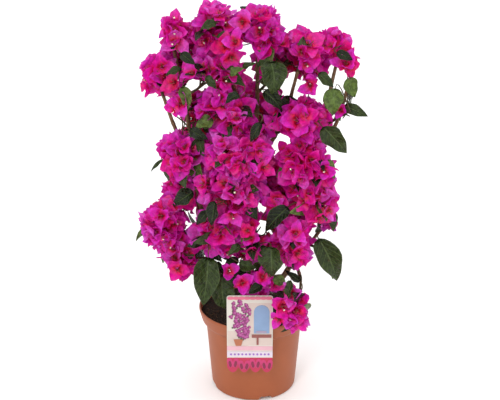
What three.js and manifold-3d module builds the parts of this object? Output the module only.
// A bougainvillea in a plastic nursery pot, trained as a flat fan: a short trunk forks just above
// the soil into three long stems, side boughs leave those, and blossom and leaf masses grow from
// stems and boughs. Millimetres, +Z up, +X to the right, the show side faces -Y.
// The origin is the centre of the pot's flat underside, on its axis.

import * as THREE from "three";
import { mergeVertices } from "three/addons/utils/BufferGeometryUtils.js";
import Module from "manifold-3d";

const wasm = await Module();
wasm.setup();

// ---------------------------------------------------------------- driving dimensions

const POT = {
  height: 134,
  rimRadius: 85, // widest part of the rim band
  neckRadius: 74, // body just under the band
  neckHeight: 106,
  footRadius: 66,
  footRound: 4,
  wall: 2.4,
  floor: 8,
  segments: 32,
};
const NOTCH = { count: 4, first: -73.5, width: 18, height: 6, depth: 16 }; // first in degrees
const DRAIN = { count: 4, radius: 5, circle: 38, sides: 8 };
const SOIL = { crown: 125, flatRadius: 18 };
const LABEL = {
  width: 68,
  bottom: 62,
  top: 190,
  thickness: 0.8,
  centreX: -6,
  corner: 4,
  lobes: 4, // round lobes of its foot
  clip: 14, // width of the strip that holds it
  tongue: 10, // length of that strip inside the pot
};
const GAP = 0.3; // clearance between pieces that touch
const SLIVER = 0.05; // edges shorter than this are closed up after a cut or a join

// A blade is a bract or a leaf. Three of them end a twig, tilted from it by this many degrees.
// droop is how far it hangs, against its own length.
const BRACT = {
  length: 42,
  width: 42,
  thickness: 1.6,
  cup: 4,
  curl: 2,
  widest: 0.5,
  tilt: 66,
  droop: 0,
};
const LEAF = {
  length: 58,
  width: 40,
  thickness: 1.6,
  cup: 3,
  curl: -6,
  widest: 0.42,
  tilt: 64,
  droop: 0.45,
};
const TWIG = { rootRadius: 1.5, tipRadius: 1.6, bud: 1.4 };
const SHOOT = {
  // a mass's own stem: it starts this far inside its limb's tip, leaves it straight for so long, and
  // from a limb's side it rises by this much and by this share of the height that it drops
  rootRadius: 2.4,
  tipRadius: 1.9,
  sides: 3,
  steps: 3,
  inside: 3,
  straight: 6,
  rise: 3,
  riseShare: 0.12,
};

// The trunk and the limbs that leave it. Each path is a few places that a smooth curve joins, and
// the radius tapers evenly along it. A limb starts on its carrier's axis and is cut clear of it.
const TRUNK = {
  path: [[-4, 2, SOIL.crown + GAP], [-3, 1.5, 136], [1, 0.5, 150], [0, 0, 165]],
  radii: [7.4, 6.2],
  flare: 5,
  flareHeight: 7,
  sides: 10,
  steps: 6,
};
const LIMBS = {
  stem_centre: {
    from: "trunk",
    path: [[0, 0, 165 + GAP], [-7, 1, 200], [-3, 2, 300], [4, 1, 420], [5, 0, 528]],
    radii: [4.9, 2.5],
  },
  stem_left: {
    from: "trunk",
    path: [[0, 0, 156], [-34, 1, 170], [-66, 0, 205], [-80, 0, 300], [-96, 0, 430], [-113, 0, 533]],
    radii: [4.6, 2.4],
  },
  stem_right: {
    from: "trunk",
    path: [[0, 0, 150], [30, 1, 163], [56, 0, 200], [76, 0, 300], [101, 0, 430], [118, 0, 518]],
    radii: [4.6, 2.4],
  },
  bough_foot_left: {
    from: "stem_left",
    path: [[-62, 0, 199], [-62, -26, 214], [-56, -52, 222]],
    radii: [3.0, 2.4],
  },
  bough_foot_right: {
    from: "stem_right",
    path: [[54, 0, 196], [64, -34, 212], [68, -66, 212]],
    radii: [3.0, 2.4],
  },
  bough_low_left: {
    from: "stem_left",
    path: [[-70, 0, 225], [-86, -12, 240], [-104, -24, 266]],
    radii: [3.2, 2.4],
  },
  bough_low_right: {
    from: "stem_right",
    path: [[62, 0, 226], [78, -14, 236], [98, -28, 268]],
    radii: [3.2, 2.4],
  },
  bough_high_left: {
    from: "stem_left",
    path: [[-90, 0, 382], [-110, -4, 410], [-130, -10, 470]],
    radii: [3.0, 2.4],
  },
  bough_high_right: {
    from: "stem_right",
    path: [[94, 0, 392], [116, -4, 420], [128, -6, 456], [134, -8, 482]],
    radii: [3.0, 2.3],
  },
  bough_high_centre: {
    from: "stem_centre",
    path: [[1, 1, 372], [22, -8, 396], [44, -12, 440], [62, -10, 506]],
    radii: [3.2, 2.3],
  },
  bough_top_left: {
    from: "stem_centre",
    path: [[4, 1, 425], [-20, 6, 458], [-48, 4, 526]],
    radii: [3.2, 2.3],
  },
};
const LIMB_SIDES = 7;
const LIMB_STEP = 28; // length of one straight piece of a limb

// The foliage masses. Each keeps to a rounded box with this centre (at) and these half-sizes
// (reach): the fourth powers of a place's shares of them add up to one on its edge. Its own stem
// grows from the limb named in from, at the height in leaves, or else at the limb's tip.
const BLOSSOM_MASSES = {
  // the show side and the edges, from the top down
  blossom_top_outer_left: { at: [-112, -6, 564], reach: [30, 40, 42], from: "stem_left" },
  blossom_top_left: { at: [-58, -8, 566], reach: [36, 48, 42], from: "bough_top_left" },
  blossom_top_centre: { at: [12, -8, 562], reach: [38, 50, 46], from: "stem_centre" },
  blossom_top_right: { at: [76, -10, 540], reach: [32, 46, 40], from: "bough_high_centre" },
  blossom_top_far_right: { at: [124, -4, 536], reach: [32, 40, 42], from: "stem_right" },
  blossom_left_shoulder: { at: [-138, -14, 504], reach: [34, 40, 40], from: "bough_high_left" },
  blossom_upper_left: { at: [-56, -46, 508], reach: [54, 44, 34], from: "stem_left", leaves: 466 },
  blossom_high_centre: { at: [-38, -54, 458], reach: [44, 44, 38], from: "stem_centre", leaves: 408 },
  blossom_high_right: { at: [66, -48, 450], reach: [54, 44, 40], from: "bough_high_centre", leaves: 414 },
  blossom_mid_left: { at: [-108, -42, 390], reach: [38, 44, 56], from: "stem_left", leaves: 345 },
  blossom_mid_centre: { at: [-22, -68, 402], reach: [54, 46, 42], from: "stem_centre", leaves: 350 },
  blossom_mid_right: { at: [80, -56, 390], reach: [48, 46, 38], from: "stem_right", leaves: 350 },
  blossom_inner_centre: { at: [-36, -74, 344], reach: [52, 46, 38], from: "stem_centre", leaves: 300 },
  blossom_inner_right: { at: [84, -60, 334], reach: [44, 44, 34], from: "stem_right", leaves: 300 },
  blossom_far_left: { at: [-134, -34, 288], reach: [48, 46, 54], from: "bough_low_left" },
  blossom_low_left: { at: [-112, -46, 228], reach: [34, 42, 40], from: "stem_left", leaves: 212 },
  blossom_low_inner: { at: [-52, -74, 283], reach: [44, 44, 46], from: "stem_left", leaves: 252 },
  blossom_low_centre: { at: [4, -80, 282], reach: [30, 40, 44], from: "stem_centre", leaves: 245 },
  blossom_low_right: { at: [56, -70, 268], reach: [42, 44, 48], from: "stem_right", leaves: 242 },
  blossom_far_right: { at: [112, -34, 302], reach: [30, 40, 36], from: "bough_low_right" },
  blossom_foot_centre: { at: [4, -60, 210], reach: [46, 40, 36], from: "stem_centre", leaves: 190 },
  blossom_foot_right: { at: [66, -92, 178], reach: [30, 34, 46], from: "bough_foot_right" },
  // the side turned away
  blossom_back_top_left: { at: [-78, 46, 520], reach: [52, 42, 48], from: "stem_left", leaves: 478 },
  blossom_back_top_right: { at: [50, 50, 508], reach: [62, 42, 48], from: "stem_centre", leaves: 472 },
  blossom_back_high_left: { at: [-98, 50, 424], reach: [52, 44, 52], from: "stem_left", leaves: 366 },
  blossom_back_high_centre: { at: [-6, 62, 424], reach: [48, 46, 52], from: "stem_centre", leaves: 380 },
  blossom_back_high_right: { at: [86, 52, 410], reach: [50, 44, 52], from: "stem_right", leaves: 362 },
  blossom_back_low_left: { at: [-98, 50, 322], reach: [52, 46, 54], from: "stem_left", leaves: 280 },
  blossom_back_low_centre: { at: [-10, 68, 322], reach: [48, 48, 54], from: "stem_centre", leaves: 275 },
  blossom_back_low_right: { at: [76, 54, 312], reach: [50, 46, 50], from: "stem_right", leaves: 268 },
  blossom_back_foot: { at: [16, 54, 228], reach: [62, 46, 46], from: "stem_centre", leaves: 205 },
};
const LEAF_MASSES = {
  leaf_high_centre: { at: [28, -50, 494], reach: [30, 36, 42], from: "bough_high_centre", leaves: 455 },
  leaf_high_right: { at: [130, -32, 452], reach: [36, 40, 50], from: "stem_right", leaves: 420 },
  leaf_mid_left: { at: [-78, -54, 430], reach: [30, 36, 32], from: "stem_left", leaves: 402 },
  leaf_low_centre: { at: [22, -104, 236], reach: [30, 30, 36], from: "stem_centre", leaves: 228 },
  leaf_right_drop: { at: [112, -62, 240], reach: [30, 36, 48], from: "bough_low_right", leaves: 242 },
  leaf_foot_left: { at: [-46, -72, 192], reach: [42, 38, 52], from: "bough_foot_left" },
  leaf_foot_back: { at: [-72, 44, 226], reach: [46, 42, 50], from: "stem_left", leaves: 206 },
};

const TWIGS = { least: 6, most: 9, spacing: 5 }; // one more for each spacing of mean half-size
const TRIES = 48; // directions that a mass tries for its twigs
const TWIG_REACH = [0.72, 0.6, 0.48, 0.36, 0.24, 0.12]; // a twig's end, as shares of the half-size
const BLADE_SCALES = [1.1, 1, 0.9, 0.8, 0.7, 0.6, 0.5]; // a blade is shorter where its space is
const TWIG_SPREAD = 0.72; // least angle between two of a mass's twigs, in radians
const SHORTEST_TWIG = 6;
const ROOT_SPACING = 5; // between the places where a mass's twigs leave its stem
const TWIG_LEAN = 0.7; // how far a twig's end turns from its own line towards its heading
const INWARD_LIMIT = -0.35; // a twig that points further than this into the crown is left out
const CROWN = { middle: [0, 0, 360], halfSize: [170, 70, 250] };
const SPACE_GAP = 0.35; // from a mass's last corner to the plane that parts it from the next mass
const LIMB_CLEARANCE = 0.9; // between a blade or twig and another limb's surface
const RIM_CLEARANCE = { above: 2, beside: 4 }; // between a blade and the pot's rim
const DOT_STEP = 2; // spacing of the places along a limb that blades are kept clear of

const FINISH = {
  blossom: { color: 0xc4148a, roughness: 0.75, metalness: 0 },
  leaf: { color: 0x3b5a32, roughness: 0.6, metalness: 0 },
  bark: { color: 0x8c7350, roughness: 0.85, metalness: 0 },
  pot: { color: 0xb86c50, roughness: 0.6, metalness: 0 },
  soil: { color: 0x2b211c, roughness: 1, metalness: 0 },
  label: { color: 0xe9dfe2, roughness: 0.4, metalness: 0 },
};

// ---------------------------------------------------------------- helpers

const degrees = THREE.MathUtils.degToRad;
const vector = (place) => new THREE.Vector3(...place);

/** Even random numbers from 0 to 1 that are the same on every run (Mulberry32). */
function randomFrom(seed) {
  let state = seed >>> 0;
  return () => {
    state = (state + 0x6d2b79f5) >>> 0;
    let t = Math.imul(state ^ (state >>> 15), state | 1);
    t ^= t + Math.imul(t ^ (t >>> 7), t | 61);
    return ((t ^ (t >>> 14)) >>> 0) / 4294967296;
  };
}

/** A closed three.js geometry as a manifold solid. */
function solidOf(geometry) {
  const bare = geometry.clone();
  bare.deleteAttribute("normal");
  bare.deleteAttribute("uv");
  const merged = mergeVertices(bare, 1e-4);
  const vertProperties = new Float32Array(merged.attributes.position.array);
  const triVerts = new Uint32Array(merged.index.array);
  return new wasm.Manifold(new wasm.Mesh({ numProp: 3, vertProperties, triVerts }));
}

/** A manifold solid as a three.js geometry. */
function geometryOf(solid) {
  const mesh = solid.getMesh();
  const geometry = new THREE.BufferGeometry();
  geometry.setAttribute("position", new THREE.BufferAttribute(mesh.vertProperties, 3));
  geometry.setIndex(new THREE.BufferAttribute(mesh.triVerts, 1));
  return geometry;
}

/** The largest of the loose pieces that a cut or a join leaves, without slivers. */
function largestPiece(solid) {
  const pieces = solid.simplify(SLIVER).decompose();
  pieces.sort((a, b) => b.volume() - a.volume());
  return pieces[0];
}

/** A geometry from corner vectors and faces that index them. */
function geometryFrom(corners, faces) {
  const geometry = new THREE.BufferGeometry().setFromPoints(corners);
  geometry.setIndex(faces.flat());
  return geometry;
}

/** A smooth curve through a limb's named places. */
const curveThrough = (path) => new THREE.CatmullRomCurve3(path.map(vector), false, "centripetal");

/** Rings of corners across a curve, radiusAt(share of length) from it, with flat closed ends. */
function loft(curve, radiusAt, sides, steps) {
  const frames = curve.computeFrenetFrames(steps);
  const corners = [];
  for (let ring = 0; ring <= steps; ring++) {
    const centre = curve.getPointAt(ring / steps);
    const radius = radiusAt(ring / steps);
    for (let side = 0; side < sides; side++) {
      const turn = (2 * Math.PI * side) / sides;
      const corner = centre.clone();
      corner.addScaledVector(frames.normals[ring], radius * Math.cos(turn));
      corner.addScaledVector(frames.binormals[ring], radius * Math.sin(turn));
      corners.push(corner);
    }
  }
  const faces = [];
  for (let ring = 0; ring < steps; ring++) {
    for (let side = 0; side < sides; side++) {
      const a = ring * sides + side;
      const b = ring * sides + ((side + 1) % sides);
      faces.push([a, b, b + sides], [a, b + sides, a + sides]);
    }
  }
  const last = steps * sides;
  for (let side = 1; side < sides - 1; side++) {
    faces.push([0, side + 1, side], [last, last + side, last + side + 1]);
  }
  return geometryFrom(corners, faces);
}

// ---------------------------------------------------------------- pot, soil and label

/** The pot's outside from the axis under its floor to the top of its rim. */
function potOutside() {
  const { rimRadius, neckRadius, neckHeight, footRadius, footRound, height } = POT;
  return [
    [0, 0],
    [footRadius - footRound, 0],
    [footRadius - 1, 1],
    [footRadius, footRound],
    [neckRadius, neckHeight],
    [neckRadius + 2, neckHeight + 3],
    [rimRadius - 5, neckHeight + 7],
    [rimRadius - 1, height - 12],
    [rimRadius, height - 3],
    [rimRadius - 1, height],
  ];
}

/** The pot's inside, inset by a distance from the outside, from the rim down to a floor height. */
function potInside(inset, floor, top) {
  const { rimRadius, neckRadius, neckHeight, footRadius, height } = POT;
  return [
    [rimRadius - inset, top],
    [rimRadius - 1 - inset, height - 11],
    [rimRadius - 5 - inset, neckHeight + 8.5],
    [neckRadius + 1 - inset, neckHeight + 3.5],
    [neckRadius - inset, neckHeight],
    [footRadius + 0.6 - inset, floor],
    [0, floor],
  ];
}

function makePot() {
  const profile = [...potOutside(), ...potInside(POT.wall, POT.floor, POT.height)];
  const points = profile.map(([radius, z]) => new THREE.Vector2(radius, z));
  const turned = new THREE.LatheGeometry(points, POT.segments).rotateX(Math.PI / 2);
  let pot = solidOf(turned);
  const notchReach = POT.footRadius + 10;
  for (let i = 0; i < NOTCH.count; i++) {
    const notch = new THREE.BoxGeometry(NOTCH.depth + 10, NOTCH.width, 2 * NOTCH.height);
    notch.translate(notchReach - (NOTCH.depth + 10) / 2, 0, 0);
    notch.rotateZ(degrees(NOTCH.first + (360 / NOTCH.count) * i));
    pot = pot.subtract(solidOf(notch));
  }
  for (let i = 0; i < DRAIN.count; i++) {
    const hole = new THREE.CylinderGeometry(DRAIN.radius, DRAIN.radius, 4 * POT.floor, DRAIN.sides);
    hole.rotateX(Math.PI / 2).translate(DRAIN.circle, 0, 0);
    hole.rotateZ(degrees((360 / DRAIN.count) * (i + 0.5)));
    pot = pot.subtract(solidOf(hole));
  }
  return pot;
}

/** The potting soil: it fills the pot, and its top is a low mound that is flat round the trunk. */
function makeSoil() {
  const wall = potInside(POT.wall + GAP, POT.floor + GAP, POT.height).slice(1).reverse();
  const profile = [...wall, [SOIL.flatRadius, SOIL.crown], [0, SOIL.crown]];
  const points = profile.map(([radius, z]) => new THREE.Vector2(radius, z));
  return solidOf(new THREE.LatheGeometry(points, POT.segments).rotateX(Math.PI / 2));
}

/** The card: a tall plate with round corners and a scalloped foot, hung over the rim by a strip. */
function makeLabel() {
  const { width, bottom, top, thickness, centreX, corner, clip, tongue, lobes } = LABEL;
  const half = width / 2;
  const lobe = width / lobes;
  const plate = new THREE.Shape();
  plate.moveTo(-half, bottom + lobe / 2);
  for (let i = 0; i < lobes; i++) {
    const start = -half + i * lobe;
    plate.quadraticCurveTo(start + lobe / 2, bottom - lobe / 2, start + lobe, bottom + lobe / 2);
  }
  plate.lineTo(half, top - corner);
  plate.quadraticCurveTo(half, top, half - corner, top);
  plate.lineTo(-half + corner, top);
  plate.quadraticCurveTo(-half, top, -half, top - corner);
  const flat = { depth: thickness, bevelEnabled: false, curveSegments: 3 };
  const front = new THREE.ExtrudeGeometry(plate, flat).rotateX(Math.PI / 2);
  const face = -(POT.rimRadius + GAP);
  front.translate(centreX, face, 0);

  // the strip's side view: back over the rim, then down inside it
  const outer = face - thickness / 2;
  const tongueFace = -(POT.rimRadius - POT.wall - 2) + thickness;
  const over = POT.height + GAP + 0.1;
  const strip = new THREE.Shape();
  strip.moveTo(outer, over);
  strip.lineTo(tongueFace, over);
  strip.lineTo(tongueFace, over - tongue);
  strip.lineTo(tongueFace + thickness, over - tongue);
  strip.lineTo(tongueFace + thickness, over + thickness);
  strip.lineTo(outer, over + thickness);
  const bent = new THREE.ExtrudeGeometry(strip, { depth: clip, bevelEnabled: false });
  const toSide = new THREE.Matrix4().makeBasis(
    new THREE.Vector3(0, 1, 0),
    new THREE.Vector3(0, 0, 1),
    new THREE.Vector3(1, 0, 0),
  );
  bent.applyMatrix4(toSide).translate(centreX - clip / 2, 0, 0);
  return solidOf(front).add(solidOf(bent));
}

// ---------------------------------------------------------------- trunk, stems and boughs

const limbs = {}; // name to curve, solid and the solid grown by the gap
const dots = []; // places along limbs and masses' stems: { at, radius, owner }

function addDots(owner, curve, radiusAt) {
  const count = Math.ceil(curve.getLength() / DOT_STEP);
  for (let i = 0; i <= count; i++) {
    dots.push({ at: curve.getPointAt(i / count), radius: radiusAt(i / count), owner });
  }
}

/** The place at this distance past a curve's tip, or before it where the distance is negative. */
const alongTip = (curve, distance) =>
  curve.getPointAt(1).addScaledVector(curve.getTangentAt(1), distance);

/** A limb's solid, and the same limb grown by the gap all round and at its tip. */
function addLimb(name, curve, radiusAt, sides, steps) {
  const solid = solidOf(loft(curve, radiusAt, sides, steps));
  const wide = (share) => radiusAt(share) + GAP / Math.cos(Math.PI / sides);
  const beforeTip = alongTip(curve, -wide(1));
  const cap = loft(new THREE.LineCurve3(beforeTip, alongTip(curve, GAP)), () => wide(1), sides, 1);
  const grown = solidOf(loft(curve, wide, sides, steps)).add(solidOf(cap));
  limbs[name] = { curve, solid, grown };
  addDots(name, curve, radiusAt);
}

function growTrunk() {
  const [foot, tip] = TRUNK.radii;
  const curve = curveThrough(TRUNK.path);
  const length = curve.getLength();
  const radiusAt = (share) =>
    THREE.MathUtils.lerp(foot, tip, share) +
    TRUNK.flare * Math.exp(-(share * length) / TRUNK.flareHeight);
  addLimb("trunk", curve, radiusAt, TRUNK.sides, TRUNK.steps);
  // the foot is one level cut
  const depth = 20;
  const below = new THREE.BoxGeometry(POT.footRadius, POT.footRadius, depth);
  below.translate(0, 0, SOIL.crown + GAP - depth / 2);
  limbs.trunk.solid = largestPiece(limbs.trunk.solid.subtract(solidOf(below)));
}

function growLimb(name, plan) {
  const curve = curveThrough(plan.path);
  const radiusAt = (share) => THREE.MathUtils.lerp(plan.radii[0], plan.radii[1], share);
  const steps = Math.max(3, Math.round(curve.getLength() / LIMB_STEP));
  addLimb(name, curve, radiusAt, LIMB_SIDES, steps);
  for (const [other, limb] of Object.entries(limbs)) {
    if (other !== name) limbs[name].solid = limbs[name].solid.subtract(limb.grown);
  }
  limbs[name].solid = largestPiece(limbs[name].solid);
}

// ---------------------------------------------------------------- foliage masses

/** Where a limb passes a height, as a share of its length, found by halving. */
function shareAtHeight(curve, z) {
  let low = 0;
  let high = 1;
  for (let i = 0; i < 30; i++) {
    const middle = (low + high) / 2;
    if (curve.getPointAt(middle).z < z) low = middle;
    else high = middle;
  }
  return low;
}

/** A mass's own stem: from inside its carrier, rising a little, to the middle of the mass. */
function shootCurve(mass) {
  const carrier = limbs[mass.from].curve;
  const centre = vector(mass.at);
  const bend = (start, middle) =>
    new THREE.CatmullRomCurve3([start, middle, centre], false, "centripetal");
  if (mass.leaves === undefined) {
    return bend(alongTip(carrier, -SHOOT.inside), alongTip(carrier, SHOOT.straight));
  }
  const start = carrier.getPointAt(shareAtHeight(carrier, mass.leaves));
  const middle = start.clone().lerp(centre, 0.5);
  middle.z += SHOOT.rise + SHOOT.riseShare * (start.z - centre.z);
  return bend(start, middle);
}

/** The planes that part a mass from each other mass, nearer the smaller one. */
function partingPlanes(mass, all) {
  const centre = vector(mass.at);
  const support = (other, normal) => vector(other.reach).multiply(normal).length();
  return Object.values(all)
    .filter((other) => other !== mass)
    .map((other) => {
      const normal = vector(other.at).sub(centre);
      const distance = normal.length();
      normal.divideScalar(distance);
      const own = support(mass, normal);
      const share = own / (own + support(other, normal));
      return { normal, limit: normal.dot(centre) + distance * share - SPACE_GAP };
    });
}

/** Three directions square to a twig, a third of a turn apart, from a first one turned by spin. */
function threeWays(direction, spin) {
  const side = new THREE.Vector3(0, 0, 1).cross(direction);
  if (side.length() < 0.1) side.set(1, 0, 0).cross(direction);
  side.normalize();
  return [0, 1, 2].map((i) => side.clone().applyAxisAngle(direction, spin + (i * 2 * Math.PI) / 3));
}

/** Where a blade's tip and its inner face point, away from its twig's direction. */
function bladeLie(kind, direction, away) {
  const tilt = degrees(kind.tilt);
  const along = direction.clone().multiplyScalar(Math.cos(tilt)).addScaledVector(away, Math.sin(tilt));
  const facing = direction.clone().multiplyScalar(Math.sin(tilt)).addScaledVector(away, -Math.cos(tilt));
  along.z -= kind.droop;
  along.normalize();
  facing.addScaledVector(along, -facing.dot(along)).normalize();
  return { along, facing };
}

/**
 * One closed solid: a three-sided twig from start to end, and out of each side of its end a blade
 * with two edges, a front, a back and a tip. The three blades meet in a bud on the twig's axis.
 */
function sprig(kind, scale, start, end, direction, spin) {
  const ring = (centre, radius) =>
    threeWays(direction, spin - Math.PI / 3).map((away) => centre.clone().addScaledVector(away, radius));
  const bud = 6; // corners 0 to 2 are the twig's root, 3 to 5 its end
  const corners = [...ring(start, TWIG.rootRadius), ...ring(end, TWIG.tipRadius)];
  corners.push(end.clone().addScaledVector(direction, TWIG.bud));
  const faces = [[0, 2, 1]];
  threeWays(direction, spin).forEach((away, i) => {
    const { along, facing } = bladeLie(kind, direction, away);
    const across = new THREE.Vector3().crossVectors(facing, along);
    const at = (length, width, lift) =>
      end
        .clone()
        .addScaledVector(along, length * kind.length * scale)
        .addScaledVector(across, (width * kind.width * scale) / 2)
        .addScaledVector(facing, lift);
    const left = corners.length;
    const [back, right, front, tip] = [left + 1, left + 2, left + 3, left + 4];
    corners.push(
      at(kind.widest, 1, kind.cup * scale),
      at(kind.widest, 0, -kind.thickness / 2),
      at(kind.widest, -1, kind.cup * scale),
      at(kind.widest, 0, kind.thickness / 2),
      at(1, 0, kind.curl * scale),
    );
    const next = (i + 1) % 3;
    const rootRight = 3 + i;
    const rootLeft = 3 + next;
    faces.push(
      [i, next, rootLeft], [i, rootLeft, rootRight],
      [bud, right, front], [right, tip, front], [tip, left, front], [left, bud, front],
      [left, tip, back], [tip, right, back], [right, rootRight, back],
      [rootRight, rootLeft, back], [rootLeft, left, back],
      [right, bud, rootRight], [bud, left, rootLeft],
    );
  });
  return { corners, faces };
}

const labelSpace = new THREE.Box3(
  new THREE.Vector3(LABEL.centreX - LABEL.width / 2, -POT.rimRadius - 2, LABEL.bottom),
  new THREE.Vector3(LABEL.centreX + LABEL.width / 2, -POT.rimRadius, LABEL.top),
).expandByScalar(1);

/** Whether a twig or blade keeps to its mass's space and clear of limbs, pot and label. */
function fits(piece, mass, near) {
  const centre = vector(mass.at);
  const reach = vector(mass.reach);
  const rimReach = POT.rimRadius + RIM_CLEARANCE.beside;
  for (const corner of piece.corners) {
    const shares = corner.clone().sub(centre).divide(reach);
    if (shares.x ** 4 + shares.y ** 4 + shares.z ** 4 > 1) return false;
    if (mass.planes.some((plane) => plane.normal.dot(corner) > plane.limit)) return false;
    const low = corner.z < POT.height + RIM_CLEARANCE.above;
    if (low && Math.hypot(corner.x, corner.y) < rimReach) return false;
  }
  const nearest = new THREE.Vector3();
  for (const face of piece.faces) {
    const triangle = new THREE.Triangle(...face.map((index) => piece.corners[index]));
    if (labelSpace.intersectsTriangle(triangle)) return false;
    for (const dot of near) {
      triangle.closestPointToPoint(dot.at, nearest);
      if (nearest.distanceTo(dot.at) < dot.radius + LIMB_CLEARANCE) return false;
    }
  }
  return true;
}

/** Whether two blades of a sprig cross, as drooping ones can: their hulls then share some space. */
function bladesCross({ corners }) {
  const [bud, perBlade] = [6, 5];
  const hulls = [0, 1, 2].map((i) => {
    const first = bud + 1 + perBlade * i;
    const blade = [corners[bud], ...corners.slice(first, first + perBlade)];
    return wasm.Manifold.hull(blade.map((corner) => corner.toArray()));
  });
  return hulls.some((hull, i) => hull.intersect(hulls[(i + 1) % 3]).volume() > 0.01);
}

/** Directions spread evenly over a ball on a golden spiral, turned by a seeded start. */
function directions(count, random) {
  const start = random();
  const golden = Math.PI * (3 - Math.sqrt(5));
  const found = [];
  for (let i = 0; i < count; i++) {
    const z = 1 - (2 * (i + 0.5)) / count;
    const turn = golden * (i + start * count);
    const level = Math.sqrt(1 - z * z);
    found.push(new THREE.Vector3(level * Math.cos(turn), level * Math.sin(turn), z));
  }
  return found;
}

/** Whether a plane across one of two axes has each of two sprigs' blades on its own side. */
function apart(one, other) {
  const blades = ({ piece }) => piece.corners.slice(3);
  const middle = (found) => new THREE.Box3().setFromPoints(blades(found)).getCenter(new THREE.Vector3());
  const axes = [other.heading.clone().sub(one.heading), middle(other).sub(middle(one))];
  return axes.some((axis) => {
    const far = Math.max(...blades(one).map((corner) => corner.dot(axis)));
    const near = Math.min(...blades(other).map((corner) => corner.dot(axis)));
    return far < near;
  });
}

/** A mass's directions with no inward ones, the most outward first, each with a seeded spin. */
function waysOut(centre, random) {
  const out = centre.clone().sub(vector(CROWN.middle)).divide(vector(CROWN.halfSize)).normalize();
  return directions(TRIES, random)
    .map((direction) => ({ direction, outward: direction.dot(out), spin: 2 * random() }))
    .filter((way) => way.outward > INWARD_LIMIT)
    .sort((one, other) => other.outward - one.outward);
}

/** Grows one mass: its stem, then a sprig in each direction that has room, largest blades first. */
function growMass(name, mass, kind) {
  const centre = vector(mass.at);
  const reach = vector(mass.reach);
  const nearby = reach.length() + kind.length / 2;
  const near = dots.filter((dot) => dot.owner !== name && dot.at.distanceTo(centre) < nearby);
  const meanReach = Math.cbrt(reach.x * reach.y * reach.z);
  const twigCount = THREE.MathUtils.clamp(Math.round(meanReach / TWIGS.spacing), TWIGS.least, TWIGS.most);
  const ways = waysOut(centre, randomFrom(mass.seed));
  const places = TWIG_REACH.flatMap((share) => [0, 1].map((turn) => ({ share, turn })));
  const sprigs = [];
  for (const scale of BLADE_SCALES) {
    for (const { direction, spin } of ways) {
      const outward = direction.clone().multiply(reach);
      const heading = outward.clone().normalize();
      if (sprigs.length === twigCount) break;
      if (sprigs.some((other) => other.heading.angleTo(heading) < TWIG_SPREAD)) continue;
      const back = (sprigs.length + 0.3) * ROOT_SPACING;
      const start = mass.curve.getPointAt(1 - back / mass.curve.getLength());
      for (const { share, turn } of places) {
        const end = centre.clone().addScaledVector(outward, share);
        const shaft = end.clone().sub(start);
        const facing = shaft.clone().normalize().lerp(heading, TWIG_LEAN).normalize();
        if (shaft.dot(facing) < SHORTEST_TWIG) continue;
        const found = { heading, piece: sprig(kind, scale, start, end, facing, spin + turn) };
        const clear = fits(found.piece, mass, near) && sprigs.every((other) => apart(other, found));
        if (clear && !bladesCross(found.piece)) {
          sprigs.push(found);
          break;
        }
      }
    }
  }
  const solids = sprigs.map(({ piece }) => solidOf(geometryFrom(piece.corners, piece.faces)));
  return largestPiece(wasm.Manifold.union([mass.shoot, ...solids]));
}

// ---------------------------------------------------------------- assembly

const plant = new THREE.Group();

function addNode(name, solid, finish) {
  const mesh = new THREE.Mesh(geometryOf(solid), new THREE.MeshStandardMaterial(finish));
  mesh.name = name;
  plant.add(mesh);
}

addNode("pot", makePot(), FINISH.pot);
addNode("soil", makeSoil(), FINISH.soil);
addNode("label", makeLabel(), FINISH.label);

growTrunk();
for (const [name, plan] of Object.entries(LIMBS)) growLimb(name, plan);
for (const [name, limb] of Object.entries(limbs)) addNode(name, limb.solid, FINISH.bark);

const masses = { ...BLOSSOM_MASSES, ...LEAF_MASSES };
Object.entries(masses).forEach(([name, mass], index) => {
  mass.seed = 101 + 17 * index;
  mass.curve = shootCurve(mass);
  const radiusAt = (share) => THREE.MathUtils.lerp(SHOOT.rootRadius, SHOOT.tipRadius, share);
  const shoot = solidOf(loft(mass.curve, radiusAt, SHOOT.sides, SHOOT.steps));
  mass.shoot = largestPiece(shoot.subtract(limbs[mass.from].grown));
  mass.planes = partingPlanes(mass, masses);
  addDots(name, mass.curve, radiusAt);
});
for (const name of Object.keys(BLOSSOM_MASSES)) {
  addNode(name, growMass(name, masses[name], BRACT), FINISH.blossom);
}
for (const name of Object.keys(LEAF_MASSES)) {
  addNode(name, growMass(name, masses[name], LEAF), FINISH.leaf);
}

export default plant;
